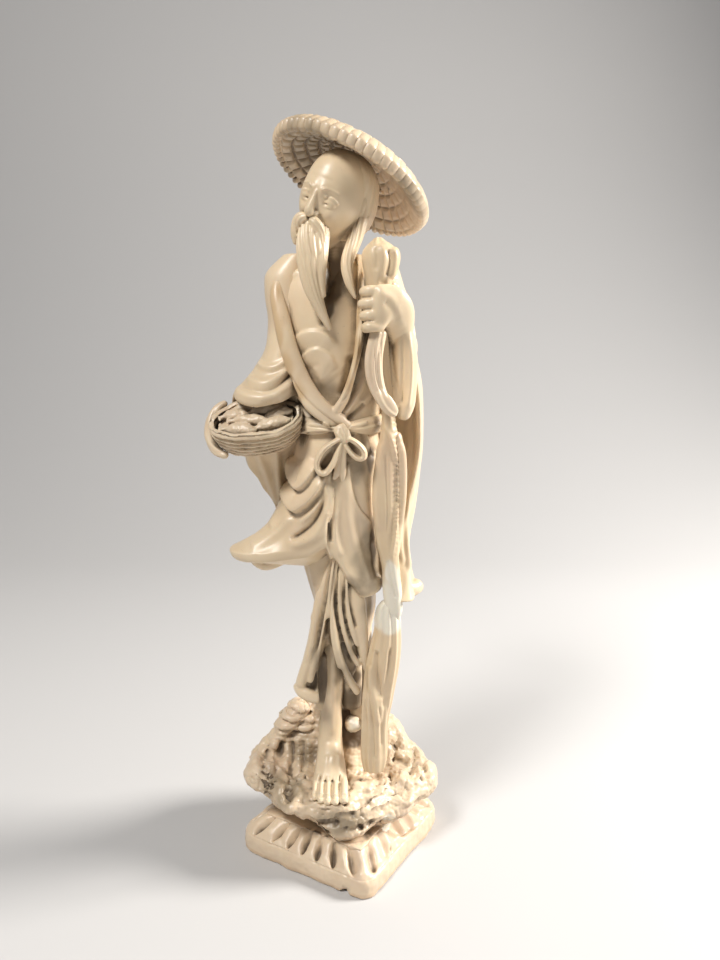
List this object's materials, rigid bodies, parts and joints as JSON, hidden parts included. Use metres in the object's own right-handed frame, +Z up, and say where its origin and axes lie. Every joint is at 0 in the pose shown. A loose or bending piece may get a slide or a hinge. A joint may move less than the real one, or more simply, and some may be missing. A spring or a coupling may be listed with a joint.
{
  "type": "resin figurine",
  "caption": "Standing old fisherman in a straw hat, with a basket of fish and a driftwood staff, on a rock over a fluted square plinth.",
  "frame": {"origin": "centre of the plinth's underside", "axes": "+Z up; -Y is the side the figure faces; +X is to the viewer's right from that side"},
  "size_m": [0.0832, 0.0752, 0.2607],
  "materials": {
    "ivory_resin": "satin cast resin, ivory, with grey-brown patina in the folds",
    "base_resin": "cast resin, ivory to pinkish, darker in the hollows",
    "woven_resin": "cast resin with a woven relief, grey patina between the strands",
    "wood_resin": "cast resin with a driftwood relief, brown in the grooves",
    "pin_steel": "plain drawn steel wire, hidden in the joints"
  },
  "bodies": {
    "root": {"plinth": "base_resin", "rock": "base_resin", "front_leg": "ivory_resin", "rear_leg": "ivory_resin", "under_skirt": "ivory_resin", "tunic_skirt": "ivory_resin", "sash": "ivory_resin", "sash_bow": "ivory_resin", "torso": "ivory_resin", "robe": "ivory_resin", "right_sleeve": "ivory_resin", "left_sleeve": "ivory_resin", "cuff_fold": "ivory_resin", "left_hand": "ivory_resin", "mantle": "ivory_resin", "head": "ivory_resin", "hair": "ivory_resin", "beard": "ivory_resin", "side_lock": "ivory_resin", "straw_hat": "woven_resin", "basket": "woven_resin", "basket_handle": "woven_resin", "fish_catch": "woven_resin", "staff_head": "wood_resin", "staff_shaft": "wood_resin", "staff_root": "wood_resin", "ankle_pin": "pin_steel", "waist_pin": "pin_steel", "staff_pin": "pin_steel", "staff_head_pin": "pin_steel"}
  },
  "joints": []
}
